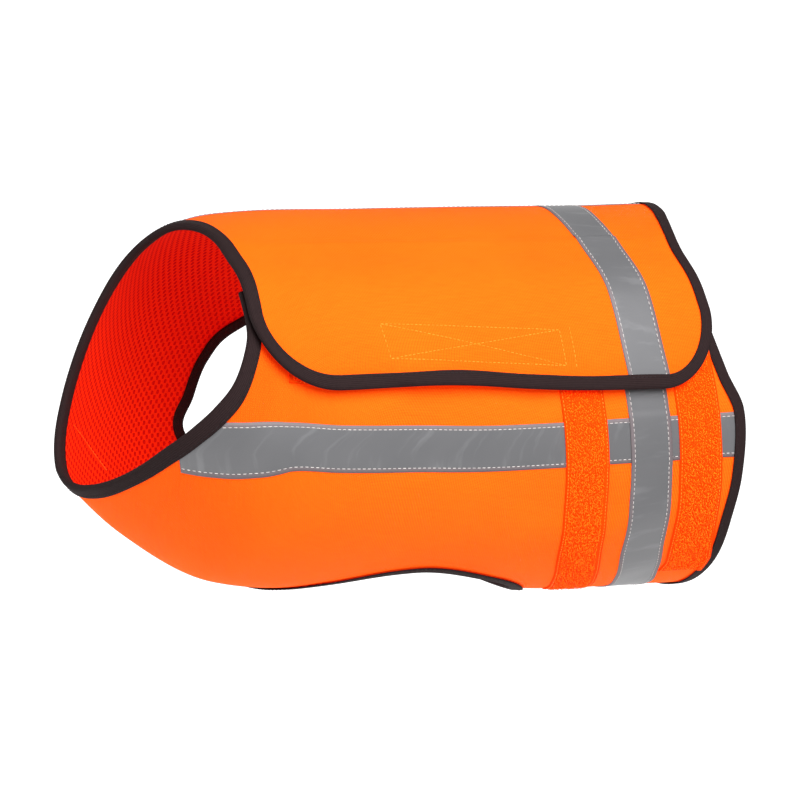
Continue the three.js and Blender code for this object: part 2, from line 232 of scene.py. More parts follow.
def leg_hole(side):
    """A closed Catmull-Rom curve: between p1 and p2, with tangents m = (next - previous) / 2,
    p1 (2t^3 - 3t^2 + 1) + m1 (t^3 - 2t^2 + t) + p2 (3t^2 - 2t^3) + m2 (t^3 - t^2).
    Angles are given as the main panel counts them, from the spine down the far side."""
    knots = np.array(LEG_HOLE, float)[:, None, :]
    following = np.roll(knots, -1, 0)
    leaving = (following - np.roll(knots, 1, 0)) / 2
    arriving = np.roll(leaving, -1, 0)
    t = np.linspace(0, 1, HOLE_STEPS, endpoint=False)[None, :, None]
    line = (knots * (2 * t**3 - 3 * t**2 + 1) + leaving * (t**3 - 2 * t**2 + t)
            + following * (3 * t**2 - 2 * t**3) + arriving * (t**3 - t**2)).reshape(-1, 2)
    return line[:, 0], line[:, 1] - 360 if side == NEAR else -line[:, 1]


FLAP_SEAM, FLAP_ROOT, WING_TOP = -62, -14, 9
FLAP_LIFT, LIFTED_BY = 9, 12
flap_bottom_at = curve_through([(-111, 38.2), (-75, 37.4), (-20, 36.9), (36, 37.9), (74, 38.2), (132, 38)])
CORNER_START, FRONT_CORNER, REAR_CORNER, STRAIGHT_UNTIL = 0.58, 54, 43, 16


def flap_place(u, v):
    """u runs from neck to rear and v from the root to the bottom edge. Past v = corner start, the ends move
    in by their corner's reach times 1 - sqrt(1 - turn^2)."""
    turn = np.clip((v - CORNER_START) / (1 - CORNER_START), 0, 1)
    rounding = 1 - np.sqrt(1 - turn**2)
    edge_angle = np.minimum(FLAP_ROOT + v * (flap_bottom_at(0.0) - FLAP_ROOT), STRAIGHT_UNTIL)
    front = neck_at(edge_angle) + FRONT_CORNER * rounding
    rear = rear_at(edge_angle) - REAR_CORNER * rounding
    x = front + (rear - front) * u
    return x, FLAP_ROOT + v * (flap_bottom_at(x) - FLAP_ROOT)


def flap_lift(angle):
    """The flap leaves the back at its root and stands clear of the wing: lift t^2 (3 - 2 t)."""
    t = np.clip((angle - FLAP_ROOT) / (LIFTED_BY - FLAP_ROOT), 0, 1)
    return FLAP_LIFT * t * t * (3 - 2 * t)


print("leg hole is", np.round(np.ptp(leg_hole(NEAR)[0])), "mm long")


# %% Which places are inside a leg hole
def within(x, angle, line_x, line_angle):
    """Even-odd test: a point is inside when a ray along x crosses the closed line an odd number of times."""
    x, angle = x[:, None], angle[:, None]
    next_x, next_angle = np.roll(line_x, -1), np.roll(line_angle, -1)
    crosses = (line_angle > angle) != (next_angle > angle)
    rise = np.where(next_angle == line_angle, 1e-9, next_angle - line_angle)
    meets = line_x + (angle - line_angle) * (next_x - line_x) / rise
    return (crosses & (x < meets)).sum(1) % 2 == 1


def in_leg_hole(x, angle, margin):
    """Inside either leg hole, grown by a margin in millimetres."""
    inside = np.zeros(x.size, bool)
    for side in (NEAR, FAR):
        line_x, line_angle = beside(*leg_hole(side), np.array([side * margin]), closed=True)
        inside |= within(x.ravel(), angle.ravel(), line_x[:, 0], line_angle[:, 0])
    return inside.reshape(x.shape)


# %% [markdown]
# ## Let the cloth settle
# Nothing fills this vest, but its cloth is never a perfect tube: it slackens between the places that
# bindings and tape hold. A coarse copy of each panel is grown by about a hundredth and settled with
# Blender's cloth solver while its bound edges are held. Only how far each point moved along the normal is
# kept, as a smooth field that every layer reads, so lining, cloth, tape and stitches all take the same
# folds. Noise would be quicker, but its folds don't know where the cloth is held.

# %% Settle a coarse panel
SETTLE_FRAMES = 24


def quads_of(rows, columns):
    """Corner numbers of the cells of a grid of rows x columns points."""
    number = np.arange(rows * columns).reshape(rows, columns)
    corners = [number[:-1, :-1], number[:-1, 1:], number[1:, 1:], number[1:, :-1]]
    return np.stack(corners, -1).reshape(-1, 4)


def softened(field):
    """Each value's mean with its neighbours, weighted 1 2 1 along both directions of the grid."""
    padded = np.pad(field, 1, mode="edge")
    rows = (padded[:-2] + 2 * padded[1:-1] + padded[2:]) / 4
    return (rows[:, :-2] + 2 * rows[:, 1:-1] + rows[:, 2:]) / 4


def settled(points, normal, held, growth, most):
    """Runs the cloth solver on a grid of points, in millimetres, and gives each point's move along the
    normal, softened twice and limited smoothly: most tanh(move / most)."""
    rows, columns = held.shape
    draws = np.random.default_rng(11).normal(0, 0.25, held.shape)
    start = points + normal * (draws * ~held)[..., None]
    mesh = bpy.data.meshes.new("settling")
    mesh.from_pydata(start.reshape(-1, 3) * MM, [], quads_of(rows, columns))
    thing = bpy.data.objects.new("settling", mesh)
    bpy.context.collection.objects.link(thing)
    group = thing.vertex_groups.new(name="held")
    group.add(np.flatnonzero(held.ravel()).tolist(), 1.0, "REPLACE")
    cloth = thing.modifiers.new("cloth", "CLOTH")
    cloth.settings.vertex_group_mass = "held"
    cloth.settings.shrink_min = -growth
    cloth.settings.mass = 0.05
    cloth.settings.quality = 6
    cloth.settings.tension_stiffness = 20
    cloth.settings.compression_stiffness = 20
    cloth.settings.bending_stiffness = 1.5
    cloth.settings.effector_weights.gravity = 0.3
    cloth.point_cache.frame_end = SETTLE_FRAMES
    for moment in range(1, SETTLE_FRAMES + 1):
        bpy.context.scene.frame_set(moment)
    shape = thing.evaluated_get(bpy.context.evaluated_depsgraph_get()).data
    end = np.zeros(len(shape.vertices) * 3, np.float32)
    shape.vertices.foreach_get("co", end)
    move = ((end.reshape(points.shape) / MM - points) * normal).sum(-1)
    bpy.data.objects.remove(thing)
    bpy.context.scene.frame_set(1)
    return most * np.tanh(softened(softened(move)) / most)


def smooth_lookup(field):
    """A cubic B-spline over the field's values, so that folds have no facets. With f the share of a cell, the
    four weights are (1-f)^3/6, (3f^3-6f^2+4)/6, (-3f^3+3f^2+3f+1)/6 and f^3/6."""
    padded = np.pad(field, 2, mode="edge")

    def weights(f):
        inner = (3 * f**3 - 6 * f**2 + 4) / 6, (-3 * f**3 + 3 * f**2 + 3 * f + 1) / 6
        return (1 - f)**3 / 6, *inner, f**3 / 6

    def look(row_share, column_share):
        row = np.clip(row_share, 0, 1) * (field.shape[0] - 1)
        column = np.clip(column_share, 0, 1) * (field.shape[1] - 1)
        i, j = np.floor(row).astype(int), np.floor(column).astype(int)
        total = 0
        for a, row_weight in enumerate(weights(row - i)):
            for b, column_weight in enumerate(weights(column - j)):
                total = total + row_weight * column_weight * padded[i + a + 1, j + b + 1]
        return total

    return look


# %% Settle the body of the vest
SPINE_HELD = 16
EDGE_HELD = 9

share, turn = np.meshgrid(np.linspace(0, 1, 47), np.linspace(0, -360, 85))
place_x = neck_at(turn) + share * (rear_at(turn) - neck_at(turn))
held = (share < 0.02) | (share > 0.98) | (np.abs(np.abs(turn + 180) - 180) < SPINE_HELD)
held |= in_leg_hole(place_x, turn, EDGE_HELD)
field = settled(on_body(place_x, turn), directions(place_x, turn)[2], held, growth=0.005, most=1.4)
body_look = smooth_lookup(field)
print("body cloth moved", round(field.min(), 2), "to", round(field.max(), 2), "mm")


def body_rise(x, angle):
    """The settled move at a place, faded to a third under the flap so that the two don't meet."""
    turned = -np.mod(-angle, 360)
    length = rear_at(turned) - neck_at(turned)
    under_flap = np.clip((turned + 322) / -14, 0, 1)
    return body_look(-turned / 360, (x - neck_at(turned)) / length) * (1 - 0.67 * under_flap)


# %% Settle the flap
HELD_BY_HOOKS = (-84, 60, 19, 33)

share, down = np.meshgrid(np.linspace(0, 1, 35), np.linspace(0, 1, 14))
place_x, turn = flap_place(share, down)
front, rear, top, bottom = HELD_BY_HOOKS
held = (down < 0.05) | ((place_x > front) & (place_x < rear) & (turn > top) & (turn < bottom))
field = settled(on_body(place_x, turn), directions(place_x, turn)[2], held, growth=0.007, most=1.4)
flap_look = smooth_lookup(field)
print("flap cloth moved", round(field.min(), 2), "to", round(field.max(), 2), "mm")


def flap_rise(x, angle):
    """The flap's lift and its own settled move, and the body's on the far side of the root."""
    down_share = np.clip((angle - FLAP_ROOT) / (flap_bottom_at(x) - FLAP_ROOT), 0, 1)
    front = flap_place(np.zeros_like(down_share), down_share)[0]
    rear = flap_place(np.ones_like(down_share), down_share)[0]
    own = flap_look(down_share, (x - front) / (rear - front)) * np.clip(down_share * 6, 0, 1)
    return flap_lift(angle) + np.where(angle > FLAP_ROOT, own, body_rise(x, angle))


# %% [markdown]
# ## From arrays to pieces
# A piece is a grid of points with quads between them. Each point also carries its place on the flat cloth,
# in millimetres, as an attribute called cloth_mm, so that weave, mesh and tape follow the surface and not
# the room. Solidify gives cloth its thickness. A UV map would do the same job, but an attribute is one
# array on the points.

# %% Build a piece from arrays
def new_piece(name, points, quads, attributes):
    """A mesh object at the origin, from points in millimetres, with its point attributes and smooth faces."""
    mesh = bpy.data.meshes.new(name)
    mesh.from_pydata(points.reshape(-1, 3) * MM, [], quads)
    for title, values in attributes.items():
        kind, field_name = ("FLOAT_VECTOR", "vector") if values.ndim > 1 else ("FLOAT", "value")
        layer = mesh.attributes.new(title, kind, "POINT")
        layer.data.foreach_set(field_name, values.astype(np.float32).ravel())
    mesh.shade_smooth()
    thing = bpy.data.objects.new(name, mesh)
    bpy.context.collection.objects.link(thing)
    return thing


def flat_places(points):
    """Each point's running distance along its row and along its column of the grid, and 0."""
    along = np.pad(np.linalg.norm(np.diff(points, axis=1), axis=-1), ((0, 0), (1, 0))).cumsum(1)
    down = np.pad(np.linalg.norm(np.diff(points, axis=0), axis=-1), ((1, 0), (0, 0))).cumsum(0)
    return np.stack([along, down, np.zeros_like(down)], -1)


def facing(points, quads, normal):
    """The quads, turned round if their faces look against the given normals."""
    a, b, d = (points[quads[:, i]] for i in (0, 1, 3))
    looks_out = (np.cross(b - a, d - a) * normal[quads[:, 0]]).sum() > 0
    return quads if looks_out else quads[:, ::-1]


def panel(name, x, angle, high, thickness, rise, keep=None, cloth_mm=None):
    """A sheet of cloth on the grid of places x and angle. Its outer face is high millimetres off the body,
    and Solidify adds the thickness inwards. Returns the piece and the area of one face in square metres."""
    points = off_body(x, angle, high, rise)
    quads = quads_of(*x.shape)
    cloth_mm = flat_places(points) if cloth_mm is None else cloth_mm
    if keep is not None:
        quads = quads[keep.ravel()]
    flat, normal = points.reshape(-1, 3), directions(x, angle)[2].reshape(-1, 3)
    quads = facing(flat, quads, normal)
    used, quads = np.unique(quads, return_inverse=True)
    quads = quads.reshape(-1, 4)
    flat = flat[used]
    thing = new_piece(name, flat, quads, {"cloth_mm": cloth_mm.reshape(-1, 3)[used]})
    wall = thing.modifiers.new("thickness", "SOLIDIFY")
    wall.thickness = thickness * MM
    wall.offset = -1
    a, b, c, d = (flat[quads[:, i]] * MM for i in range(4))
    area = np.linalg.norm(np.cross(c - a, d - b), axis=1).sum() / 2
    return thing, float(area)


# %% [markdown]
# ## Hang each piece on its body
# The imported model has two bodies: the vest, and the flap that turns on the hinge by the spine. A piece that
# crosses the hinge is not bent: it stays where it was laid, in the room's frame, and joins neither body.

# %% Hang on a body
HINGE_Y, HINGE_Z = hinge["pos_m"][1:]
BEND_START = (0, HINGE_Y + 0.022, HINGE_Z)
BEND_END = (0, HINGE_Y - 0.023, HINGE_Z)


def hang(thing, body, slot, finish, *nodes):
    """Gives the piece its finish, hides the CAD nodes that it stands for, and joins it to its body; a piece
    on the body called fold stays where it was laid. slot is not used."""
    thing.data.materials.append(finish)
    if nodes:
        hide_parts(*nodes)
    if body == "fold":
        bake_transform(thing)
    else:
        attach(thing, body)
    return thing


# %% [markdown]
# ## Writing finishes as expressions
# A Wire is a value in a material's node tree. Adding, multiplying or subtracting wires adds the Math nodes,
# so a weave reads as its formula. Every other node comes from the one method called add.

# %% Wires and finishes
class Wire:
    """One output socket of a finish's node tree, with arithmetic."""

    def __init__(self, finish, socket):
        self.finish = finish
        self.socket = socket

    def maths(self, operation, *values):
        return self.finish.add("ShaderNodeMath", {"operation": operation}, dict(enumerate(values)))

    def __add__(self, other):
        return self.maths("ADD", self, other)

    def __sub__(self, other):
        return self.maths("SUBTRACT", self, other)

    def __rsub__(self, other):
        return self.maths("SUBTRACT", other, self)

    def __mul__(self, other):
        return self.maths("MULTIPLY", self, other)

    def __abs__(self):
        return self.maths("ABSOLUTE", self)

    def sine(self):
        return self.maths("SINE", self)

    def between(self, low, high):
        """0 below low, 1 above high, and a smooth step between."""
        sockets = {"Value": self, "From Min": low, "From Max": high}
        return self.finish.add("ShaderNodeMapRange", {"interpolation_type": "SMOOTHSTEP"}, sockets)

    def also(self, name):
        """Another output of the same node."""
        return Wire(self.finish, self.socket.node.outputs[name])

    __radd__ = __add__
    __rmul__ = __mul__


SOCKETS = {
    "roughness": "Roughness", "metallic": "Metallic", "specular": "Specular IOR Level",
    "glow": "Emission Color", "glow_strength": "Emission Strength",
}


class Finish:
    """A material with one Principled shader. Constants go straight on the shader's own sockets."""

    def __init__(self, name, **constants):
        self.material = bpy.data.materials.new(name)
        self.material.use_nodes = True
        self.tree = self.material.node_tree
        self.shader = self.tree.nodes["Principled BSDF"]
        for title, value in constants.items():
            self.shader.inputs[SOCKETS[title]].default_value = value

    def add(self, kind, settings=None, sockets=None, output=0):
        """A node of this kind: its settings first, then the values or links of its sockets."""
        node = self.tree.nodes.new(kind)
        for title, value in (settings or {}).items():
            setattr(node, title, value)
        for title, value in (sockets or {}).items():
            self.join(value, node.inputs[title])
        return Wire(self, node.outputs[output])

    def join(self, value, socket):
        if isinstance(value, Wire):
            self.tree.links.new(value.socket, socket)
        else:
            socket.default_value = value

    def varies(self, title, wire):
        """Feeds a socket of the shader from the nodes."""
        self.tree.links.new(wire.socket, self.shader.inputs[title])

    def cloth(self):
        """The place on the flat cloth, in millimetres, as a vector and its two numbers."""
        place = self.add("ShaderNodeAttribute", {"attribute_name": "cloth_mm"}, output="Vector")
        parts = self.add("ShaderNodeSeparateXYZ", sockets={"Vector": place})
        return place, parts, parts.also("Y")

    def noise(self, vector, scale, detail=2.0, stretch=(1, 1, 1)):
        """Noise from 0 to 1 whose scale is in features per unit of the vector."""
        scaled = self.add("ShaderNodeVectorMath", {"operation": "MULTIPLY"}, {0: vector, 1: stretch})
        return self.add("ShaderNodeTexNoise", sockets={"Vector": scaled, "Scale": scale, "Detail": detail})

    def colour(self, share, first, second):
        """The first colour at share 0 and the second at 1."""
        sockets = {0: share, 6: rgba(first), 7: rgba(second)}
        return self.add("ShaderNodeMix", {"data_type": "RGBA"}, sockets, output=2)

    def bump(self, height, depth_mm):
        """Raises the surface by height times a depth in millimetres."""
        sockets = {"Height": height, "Distance": depth_mm * MM}
        self.varies("Normal", self.add("ShaderNodeBump", sockets=sockets))


def rgba(colour):
    """A colour with its alpha, or a wire as it is."""
    return colour if isinstance(colour, Wire) else (*colour, 1.0)


# %% [markdown]
# ## Orange oxford cloth
# Oxford cloth is a plain weave of paired threads, here about a millimetre a pair. Fluorescent dye turns
# blue and green light into red, so the cloth stays bright red even in its own shade. A little red light of
# the cloth's own stands for that. The weave is two sets of rounded threads that swap places like a
# chequerboard.

# %% Oxford cloth
PAIR_MM = 1.05


def weave(finish, pitch_mm):
    """The cloth's places and its thread heights: |sin a| where the warp is over and |sin b| where the weft
    is, with a and b the two cloth directions in half turns per thread, and over where sin a sin b > 0."""
    place, along, down = finish.cloth()
    warp = (along * (math.pi / pitch_mm)).sine()
    weft = (down * (math.pi / pitch_mm)).sine()
    over = (warp * weft).between(-0.15, 0.15)
    return place, along, down, over * abs(warp) + (1 - over) * abs(weft)


def oxford_cloth():
    finish = Finish("oxford cloth", roughness=0.8, specular=0.06,
                    glow=(0.55, 0.004, 0.0, 1), glow_strength=1.0)
    place, along, down, thread = weave(finish, PAIR_MM)
    slubs = finish.noise(place, 0.5, 3.0, (0.12, 1.0, 1.0))
    clouds = finish.noise(place, 0.012, 3.0)
    diagonal = ((along + down) * (math.pi / PAIR_MM)).sine()
    # Painted shade in the weave: darker where threads dip, lighter where they ride over; the rest is uneven
    # tone.
    tone_and_weave_shade = thread * 0.5 + slubs * 0.3 + clouds * 0.3 + diagonal * 0.12
    finish.varies("Base Color", finish.colour(tone_and_weave_shade, (0.90, 0.086, 0.002), (1.0, 0.222, 0.008)))
    finish.varies("Roughness", 0.85 - thread * 0.16)
    finish.bump(thread + slubs * 0.35, 0.3)
    return finish.material


oxford = oxford_cloth()
print("oxford cloth has", len(oxford.node_tree.nodes), "nodes")

# %% [markdown]
# ## Eyelet mesh lining
# The lining is a warp-knitted mesh: soft ground cloth with rows of small oval eyelets, each row shifted by
# half a step. The product of two cosines has its peaks in just that pattern. Each eyelet is a hole, painted
# dark red as painted shade for the gap seen through it, and a bump sinks it into a pit.

# %% Mesh lining
EYELET_STEP_MM, EYELET_ROWS_MM = 4.8, 7.0


def mesh_lining():
    # The glow is painted light: red light of the lining's own, which keeps its shaded inside red.
    finish = Finish("mesh lining", roughness=0.9, specular=0.05,
                    glow=(0.21, 0.001, 0.001, 1), glow_strength=1.0)
    place, along, down = finish.cloth()
    quarter = math.pi / 2
    across = (along * (2 * math.pi / EYELET_STEP_MM) + quarter).sine()
    lengthwise = (down * (2 * math.pi / EYELET_ROWS_MM) + quarter).sine()
    eyelet = (across * lengthwise).between(0.05, 0.5)
    knit = finish.noise(place, 1.6, 2.0, (1.0, 0.5, 1.0))
    ground = finish.colour(knit, (0.74, 0.016, 0.001), (0.90, 0.042, 0.002))
    # Painted shade: each eyelet is a darker red, for the shade seen through the hole.
    finish.varies("Base Color", finish.colour(eyelet, ground, (0.50, 0.004, 0.001)))
    finish.bump((1 - eyelet) + knit * 0.25, 0.7)
    return finish.material


mesh = mesh_lining()

# %% [markdown]
# ## Bound edges
# Binding is a black woven tape folded over the raw edge. It has a fine lengthwise rib, and light catches
# its fold.

# %% Binding
def binding_tape():
    finish = Finish("binding tape", roughness=0.75, specular=0.08)
    place, along, down = finish.cloth()
    rib = abs((down * (math.pi / 1.1)).sine())
    pick = abs((along * (math.pi / 0.9)).sine())
    lint = finish.noise(place, 0.35, 4.0)
    # Painted shade in the rib: darker in the grooves between ribs and picks; the lint is the tape's own tone.
    tone_and_weave_shade = rib * 0.4 + pick * 0.2 + lint * 0.5
    finish.varies("Base Color", finish.colour(tone_and_weave_shade, (0.012, 0.006, 0.007), (0.034, 0.020, 0.020)))
    finish.varies("Roughness", 0.66 + lint * 0.2)
    finish.bump(rib * 0.7 + pick * 0.4, 0.25)
    return finish.material


# %% [markdown]
# ## Reflective tape
# Glass beads on a grey cloth backing give the tape its soft metal look. The beads sparkle, the band between
# the two lines of stitches is smooth, and the margins outside them pucker and look duller. Handling leaves
# faint creases across the tape, and a painted highlight makes them a little lighter.

# %% Reflective tape
TAPE_WIDTH = 32
STITCH_INSET = 2.8


def reflective_tape():
    finish = Finish("reflective tape", metallic=0.25, specular=0.5)
    place, along, across = finish.cloth()
    beads = finish.noise(place, 2.4, 2.0)
    creases_and_highlight = finish.noise(place, 1.0, 3.0, (0.11, 0.022, 1.0)).between(0.52, 0.74)
    cloud = finish.noise(place, 0.03, 2.0)
    margin = abs(across).between(TAPE_WIDTH / 2 - STITCH_INSET - 0.5, TAPE_WIDTH / 2 - STITCH_INSET + 0.3)
    silver = finish.colour(beads * 0.5 + cloud * 0.5, (0.134, 0.136, 0.144), (0.200, 0.198, 0.204))
    # Painted highlight: the creases are mixed towards a lighter grey, as light catching them.
    silver_with_crease_highlight = finish.colour(creases_and_highlight * 0.25, silver, (0.34, 0.34, 0.35))
    finish.varies("Base Color", finish.colour(margin * 0.75, silver_with_crease_highlight, (0.215, 0.172, 0.182)))
    finish.varies("Roughness", 0.40 + beads * 0.14 + margin * 0.2)
    finish.bump(beads * 0.12 + creases_and_highlight * 0.2 - margin * 0.6, 0.4)
    return finish.material


# %% [markdown]
# ## Loop and hook fabrics
# Loop fabric is a field of tiny nylon loops on a woven ground, and hook fabric has rows of bent bristles.
# The pile is real geometry here, with a random tone of its own on each loop, and the ground below is painted
# darker than the loops, as painted shade down among them.

# %% Loop, hook and thread finishes
def pile_ground():
    finish = Finish("pile ground", roughness=0.95, specular=0.03,
                    glow=(0.35, 0.001, 0.0, 1), glow_strength=1.0)
    place, along, across = finish.cloth()
    fuzz = finish.noise(place, 0.9, 3.0)
    # Painted shade: the ground is darker than the loops, for the shade down among them.
    finish.varies("Base Color", finish.colour(fuzz, (0.80, 0.045, 0.001), (0.95, 0.10, 0.002)))
    finish.bump(fuzz, 0.6)
    return finish.material


def pile_thread():
    finish = Finish("pile thread", roughness=0.7, specular=0.12,
                    glow=(0.45, 0.003, 0.0, 1), glow_strength=1.0)
    shade = finish.add("ShaderNodeAttribute", {"attribute_name": "shade"}, output="Fac")
    finish.varies("Base Color", finish.colour(shade, (0.95, 0.11, 0.001), (1.0, 0.38, 0.012)))
    finish.varies("Roughness", 0.7 - shade * 0.2)
    return finish.material


def sewing_thread(name, dark, light, glow):
    finish = Finish(name, roughness=0.6, specular=0.2, glow=(*glow, 1), glow_strength=1.0)
    shade = finish.add("ShaderNodeAttribute", {"attribute_name": "shade"}, output="Fac")
    finish.varies("Base Color", finish.colour(shade, dark, light))
    return finish.material


black_tape = binding_tape()
silver_tape = reflective_tape()
ground = pile_ground()
pile = pile_thread()
pale_thread = sewing_thread("pale thread", (0.52, 0.48, 0.47), (0.74, 0.70, 0.67), (0, 0, 0))
orange_thread = sewing_thread("orange thread", (1.0, 0.30, 0.015), (1.0, 0.44, 0.045), (0.45, 0.01, 0))
# Painted highlight: the dart's thread is lighter and glows more than the lining, for the lit ridge of its
# fold.
dart_thread_and_highlight = sewing_thread("dart thread and painted highlight", (1.0, 0.07, 0.004), (1.0, 0.14, 0.01), (0.4, 0.005, 0))
black_thread = sewing_thread("black thread", (0.010, 0.008, 0.008), (0.035, 0.026, 0.028), (0, 0, 0))

# %% [markdown]
# ## The main panel and its lining
# The panel goes from the seam on the far side, round under the belly, to the top edge of the near wing,
# which lies under the flap. Its cells are about 3 mm. Cells inside the leg holes are left out, grown by a
# little so that the stepped edge this leaves lies inside the folded binding.

# %% Cut and lay the main panel
CLOTH, LAYER_GAP = 0.8, 0.9
MAIN_END = WING_TOP - 360
LINING_HIGH = -LAYER_GAP
CUT_BACK = 2.5


def main_grid(rows, columns):
    """Angle falls evenly from the seam to the wing's top, and x runs evenly from neck to rear edge."""
    angles = np.linspace(FLAP_SEAM, MAIN_END, rows + 1)
    share, angle = np.meshgrid(np.linspace(0, 1, columns + 1), angles)
    return neck_at(angle) + share * (rear_at(angle) - neck_at(angle)), angle


def middles(grid):
    """The middle of each cell of a grid."""
    return (grid[:-1, :-1] + grid[1:, :-1] + grid[:-1, 1:] + grid[1:, 1:]) / 4


def main_panel(name, rows, columns, high):
    x, angle = main_grid(rows, columns)
    keep = ~in_leg_hole(middles(x), middles(angle), CUT_BACK)
    return panel(name, x, angle, high, CLOTH, body_rise, keep)


main_cloth, main_area = main_panel("main_cloth", 232, 128, CLOTH)
hang(main_cloth, "vest", "oxford_cloth", oxford, "vest_outer")
main_lining, lining_area = main_panel("main_lining", 190, 104, LINING_HIGH)
hang(main_lining, "vest", "mesh_lining", mesh, "vest_lining")
print("main panel", round(main_area, 4), "m2 of cloth and", round(lining_area, 4), "m2 of mesh")

# %% [markdown]
# ## The flap
# The flap's cloth starts at the seam, crosses the spine and hangs to its bottom edge. Rows crowd towards
# the bottom, where the corners turn: v = sin(90 degrees x row / rows).

# %% Cut and lay the flap
BEFORE_ROOT = 34


def flap_grid(rows, columns):
    """Rows from the seam to the root with the neck and rear edges as ends, then the flap's own outline."""
    share = np.linspace(0, 1, columns + 1)
    early = np.linspace(FLAP_SEAM, FLAP_ROOT, BEFORE_ROOT, endpoint=False)[:, None]
    early_x = neck_at(early) + share * (rear_at(early) - neck_at(early))
    crowded = np.sin(np.linspace(0, math.pi / 2, rows + 1))[:, None]
    x, angle = flap_place(share[None, :], crowded)
    return np.vstack([early_x, x]), np.vstack([np.broadcast_to(early, early_x.shape), angle])


x, angle = flap_grid(54, 120)
flap_cloth, flap_area = panel("flap_cloth", x, angle, CLOTH, CLOTH, flap_rise)
hang(flap_cloth, "fold", "oxford_cloth", oxford, "flap_outer")
x, angle = flap_grid(44, 96)
flap_mesh, flap_mesh_area = panel("flap_mesh", x, angle, LINING_HIGH, CLOTH, flap_rise)
hang(flap_mesh, "fold", "mesh_lining", mesh, "flap_lining")
print("flap", round(flap_area, 4), "m2 of cloth")

# %% [markdown]
# ## Bindings
# Each binding is one U-shaped section carried along its edge. The fold is round, both legs lie flat on the
# cloth, and the hand-guided edge wanders by a few tenths of a millimetre.

# %% Carry a binding along an edge
LEG_MM, FOLD_MM, TAPE_MM = 8.0, 0.6, 0.6
WANDER_MM, WANDER_TURNS = 0.35, (0.19, 0.043)
LEG_TOP = CLOTH + LAYER_GAP + TAPE_MM
LEG_LOW = -2 * CLOTH - LAYER_GAP - TAPE_MM


def binding_section():
    """A closed U in (depth into the cloth, height). Its outside is two straight legs joined by a half circle
    of radius (top - low) / 2, and its inside is the same shape one tape thickness smaller."""
    centre, radius = (LEG_TOP + LEG_LOW) / 2, (LEG_TOP - LEG_LOW) / 2
    nose = radius - FOLD_MM - TAPE_MM
    bend = np.linspace(math.pi / 2, 3 * math.pi / 2, 9)
    sides = []
    for size in (radius, radius - TAPE_MM):
        round_part = np.stack([nose + size * np.cos(bend), centre + size * np.sin(bend)], -1)
        leg = np.linspace(LEG_MM, nose, 5)[:-1]
        upper = np.stack([leg, np.full(4, centre + size)], -1)
        lower = np.stack([leg[::-1], np.full(4, centre - size)], -1)
        sides.append(np.vstack([upper, round_part, lower]))
    return np.vstack([sides[0], sides[1][::-1]])


def binding(name, x, angle, inward, rise, closed=False):
    """The section carried along the edge. inward is 1 where the cloth lies to the left of the route seen from
    outside, and -1 where it lies to the right. Returns the piece and its tape's length in metres."""
    section = binding_section()
    step = np.arange(len(x))
    wander = WANDER_MM * np.sin(step * WANDER_TURNS[0]) * np.sin(step * WANDER_TURNS[1])
    if closed:
        wander = wander * np.sin(np.linspace(0, math.pi, len(x)))
    depth = section[:, 0] + wander[:, None] * (section[:, 0] > LEG_MM / 2)
    side_x, side_angle = beside(x, angle, np.ones(1), closed)
    places_x = x[:, None] + (side_x - x[:, None]) * inward * depth
    places_angle = angle[:, None] + (side_angle - angle[:, None]) * inward * depth
    points = off_body(places_x, places_angle, section[:, 1], rise)
    rings, size = points.shape[:2]
    number = np.arange(rings * size).reshape(rings, size)
    number = np.hstack([number, number[:, :1]])
    if closed:
        number = np.vstack([number, number[:1]])
    corners = [number[:-1, :-1], number[:-1, 1:], number[1:, 1:], number[1:, :-1]]
    quads = np.stack(corners, -1).reshape(-1, 4)
    if not closed:
        strip = np.arange(size // 2 - 1)
        cap = np.stack([strip, strip + 1, size - 2 - strip, size - 1 - strip], -1)
        quads = np.vstack([quads, cap[:, ::-1], cap + (rings - 1) * size])
    flat = points.reshape(-1, 3)
    a, b, c, d = (flat[quads[:, i]] for i in range(4))
    if (a * (np.cross(b, c) + np.cross(c, d))).sum() < 0:
        quads = quads[:, ::-1]
    length = arc_length(on_body(x, angle))
    profile = arc_length(section)
    places = np.stack([np.broadcast_to(length[:, None], points.shape[:2]),
                       np.broadcast_to(profile, points.shape[:2]), np.zeros(points.shape[:2])], -1)
    thing = new_piece(name, flat, quads, {"cloth_mm": places.reshape(-1, 3)})
    last_gap = np.linalg.norm(on_body(x[-1], angle[-1]) - on_body(x[0], angle[0])) if closed else 0
    return thing, float((length[-1] + last_gap) * MM)


# %% Routes of the bound edges
BINDING_STEP = 2.6
CORNER_ROOM = 9
main_angles = np.linspace(FLAP_SEAM, MAIN_END, 400)
routes = {
    "neck": (neck_at(main_angles), main_angles, -1, False, "neck_binding"),
    "rear": (rear_at(main_angles), main_angles, 1, False, "rear_binding"),
    "near_leg": (*leg_hole(NEAR), 1, True, "near_leg_binding"),
    "far_leg": (*leg_hole(FAR), -1, True, "far_leg_binding"),
}
wing_x = np.linspace(neck_at(WING_TOP) + CORNER_ROOM, rear_at(WING_TOP) - CORNER_ROOM, 130)
wing_angle = np.full_like(wing_x, MAIN_END)
routes["wing_top"] = (wing_x, wing_angle, -1, False, "wing_top_binding")

bindings = {}
for title, (x, angle, inward, closed, node) in routes.items():
    if not closed:
        x, angle = evenly(x, angle, BINDING_STEP)
    thing, length = binding(title + "_edge", x, angle, inward, body_rise, closed)
    bindings[title] = (hang(thing, "vest", "binding", black_tape, node), length)

